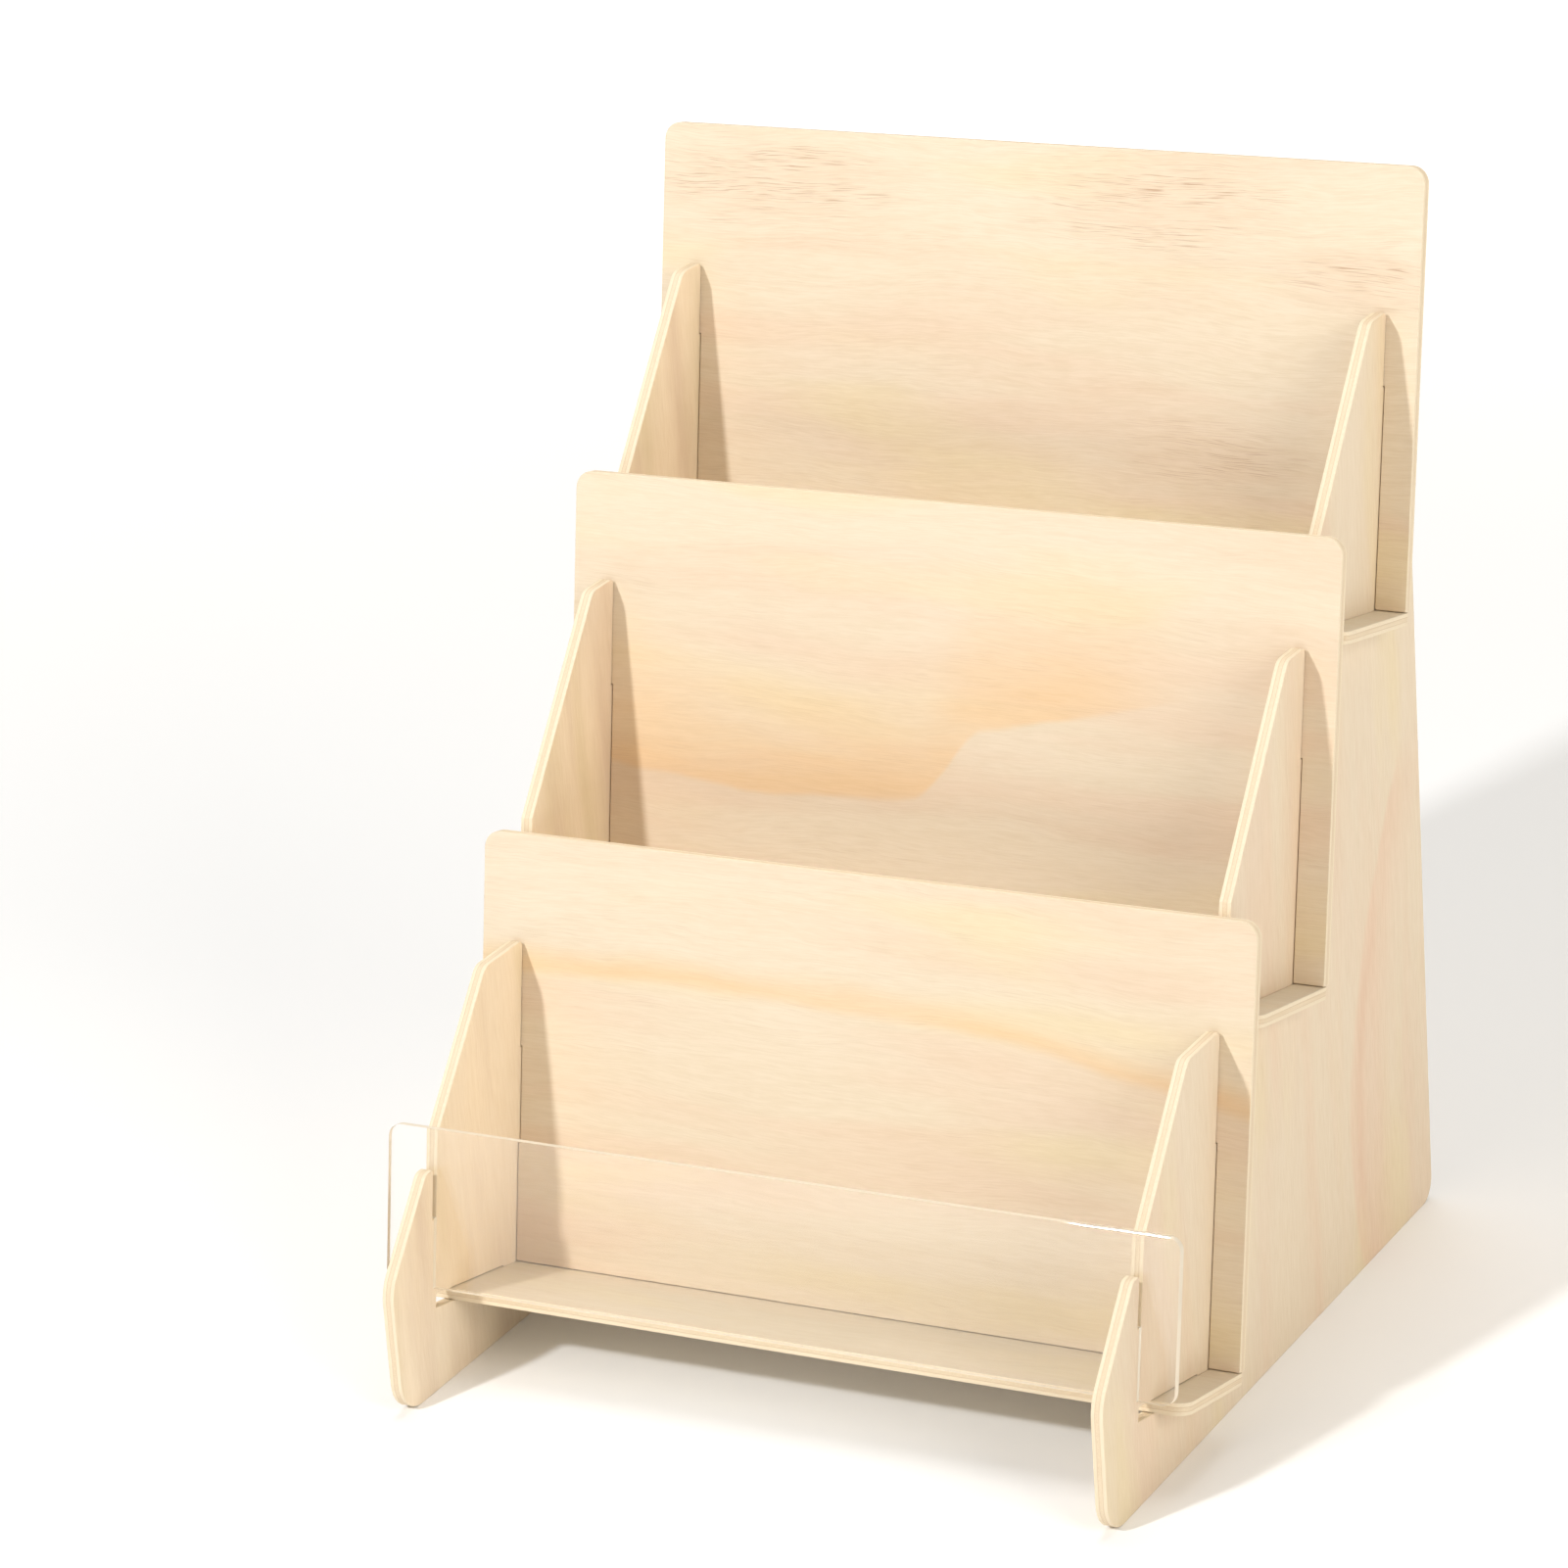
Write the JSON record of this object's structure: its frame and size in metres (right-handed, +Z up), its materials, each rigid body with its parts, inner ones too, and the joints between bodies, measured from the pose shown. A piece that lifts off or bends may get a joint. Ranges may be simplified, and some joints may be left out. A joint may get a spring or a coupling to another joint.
{
  "type": "brochure rack",
  "caption": "Stepped countertop leaflet rack of interlocking plywood boards, with leaning back panels, tipped shelves and a clear front lip.",
  "frame": {"origin": "middle of the rack's footprint, on the surface it stands on", "axes": "+Z up, -Y the front that the pockets face, +X to the right for someone facing the rack"},
  "size_m": [0.294, 0.283, 0.3822],
  "materials": {
    "side_plywood": "natural pale plywood, sanded, upright grain, edge plies showing",
    "back_plywood": "natural pale plywood, sanded, level grain with soft orange streaks",
    "shelf_plywood": "natural pale plywood, sanded, level grain, edge plies showing",
    "clear_acrylic": "clear acrylic sheet with polished edges"
  },
  "bodies": {
    "rack": {"side_panel_left": "side_plywood", "side_panel_right": "side_plywood", "back_panel_bottom": "back_plywood", "back_panel_middle": "back_plywood", "back_panel_top": "back_plywood", "shelf_bottom": "shelf_plywood", "shelf_middle": "shelf_plywood", "shelf_top": "shelf_plywood"},
    "lip": {"front_lip": "clear_acrylic"}
  },
  "joints": [
    {"name": "lip_lift", "type": "slide", "parent": "rack", "child": "lip", "axis": [0, 0.1977, 0.9803], "range_m": [0, 0.042]}
  ]
}
